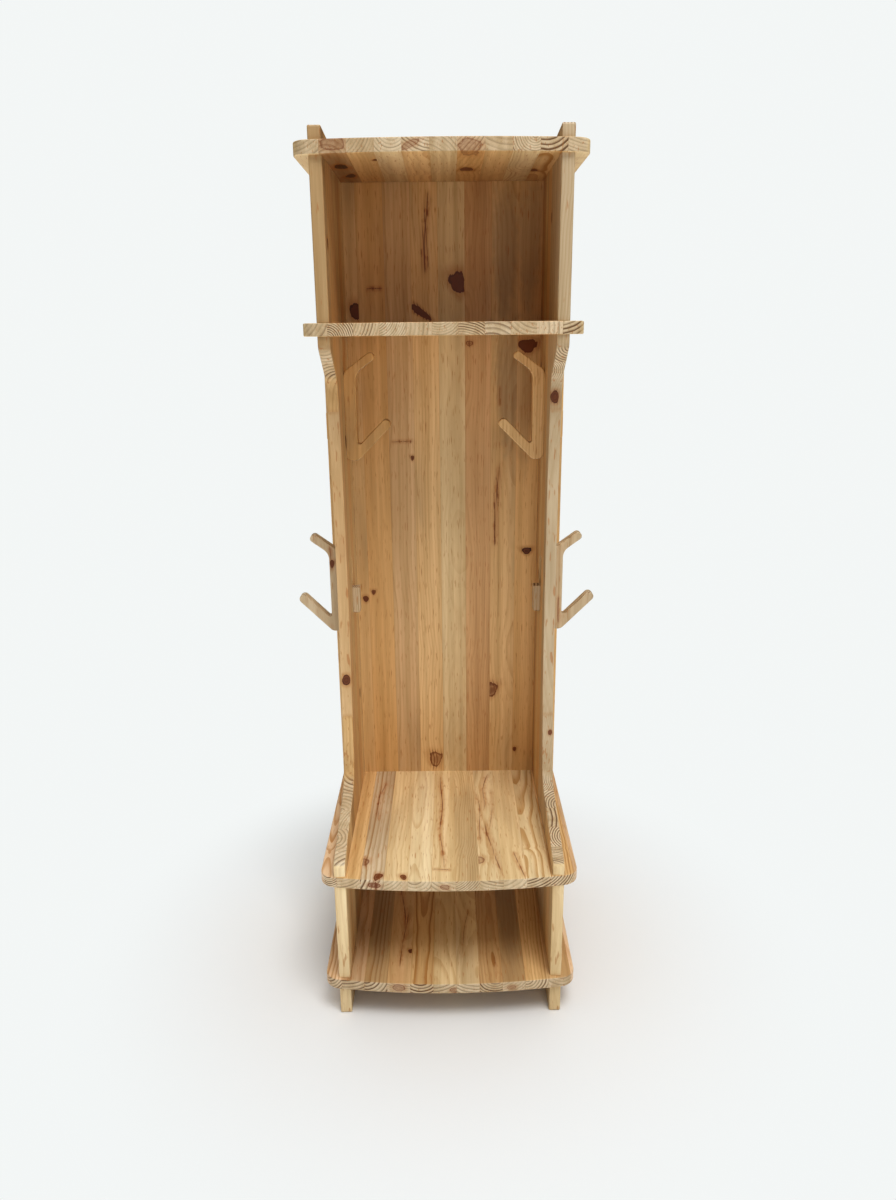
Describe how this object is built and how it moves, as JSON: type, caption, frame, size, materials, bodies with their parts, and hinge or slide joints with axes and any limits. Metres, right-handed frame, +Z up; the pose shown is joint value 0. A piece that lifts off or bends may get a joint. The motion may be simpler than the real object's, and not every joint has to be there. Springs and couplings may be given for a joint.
{
  "type": "open frame wardrobe",
  "caption": "Open frame wardrobe of slotted pine boards, with a hat shelf box, a seat over a shoe space, and lift-out pronged coat hooks in swept side panels",
  "frame": {"origin": "middle of the footprint's box, on the floor under the feet", "axes": "+Z is up, +Y runs from the open front to the back, +X runs to the right for a viewer who faces the front"},
  "size_m": [0.751, 0.5976, 1.9777],
  "materials": {
    "panel_wood": "satin",
    "board_wood": "satin",
    "hook_wood": "satin"
  },
  "bodies": {
    "wardrobe_frame": {"left_side_panel": "panel_wood", "right_side_panel": "panel_wood", "back_panel": "panel_wood", "top_shelf": "board_wood", "middle_shelf": "board_wood", "seat_board": "board_wood", "bottom_board": "board_wood"},
    "inner_hook_left": {"inner_hook_left": "hook_wood"},
    "inner_hook_right": {"inner_hook_right": "hook_wood"},
    "outer_hook_left": {"outer_hook_left": "hook_wood"},
    "outer_hook_right": {"outer_hook_right": "hook_wood"}
  },
  "joints": [
    {"name": "lift_inner_hook_left", "type": "slide", "parent": "wardrobe_frame", "child": "inner_hook_left", "axis": [0, 0, 1], "range_m": [0, 0.036]},
    {"name": "lift_inner_hook_right", "type": "slide", "parent": "wardrobe_frame", "child": "inner_hook_right", "axis": [0, 0, 1], "range_m": [0, 0.036]},
    {"name": "lift_outer_hook_left", "type": "slide", "parent": "wardrobe_frame", "child": "outer_hook_left", "axis": [0, 0, 1], "range_m": [0, 0.072]},
    {"name": "lift_outer_hook_right", "type": "slide", "parent": "wardrobe_frame", "child": "outer_hook_right", "axis": [0, 0, 1], "range_m": [0, 0.072]}
  ]
}
